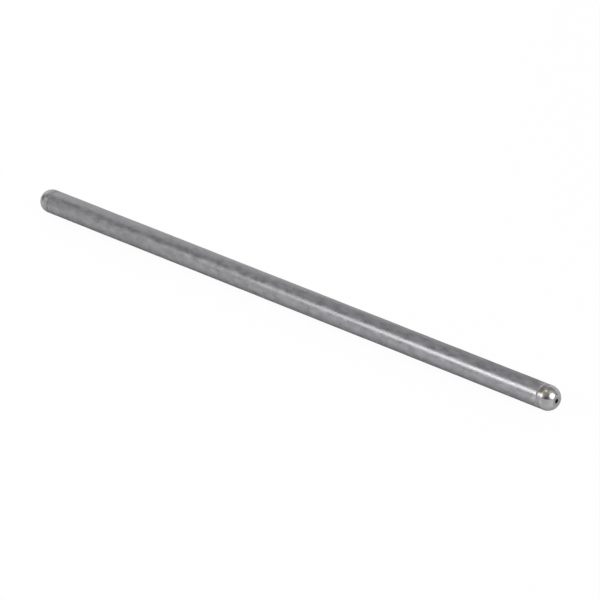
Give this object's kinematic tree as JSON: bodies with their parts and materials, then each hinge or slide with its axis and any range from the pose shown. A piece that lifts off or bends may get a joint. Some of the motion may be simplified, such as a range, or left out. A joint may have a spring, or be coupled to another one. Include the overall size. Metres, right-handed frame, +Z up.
{
  "type": "engine pushrod",
  "caption": "Straight round steel tube with a drilled ball tip welded into each end; it carries a valve lifter's push, and oil, up to the rocker arm.",
  "frame": {"origin": "middle of the rod, on its axis", "axes": "+X along the rod towards the rocker end; +Z up as the rod lies on a bench"},
  "size_m": [0.2244, 0.008, 0.008],
  "materials": {
    "tube_steel": "satin, ground tube",
    "tip_steel": "polished, hardened, with a weld's heat tint at the shoulder"
  },
  "bodies": {
    "root": {"tube": "tube_steel", "rocker_end_ball_tip": "tip_steel", "lifter_end_ball_tip": "tip_steel"}
  },
  "joints": []
}
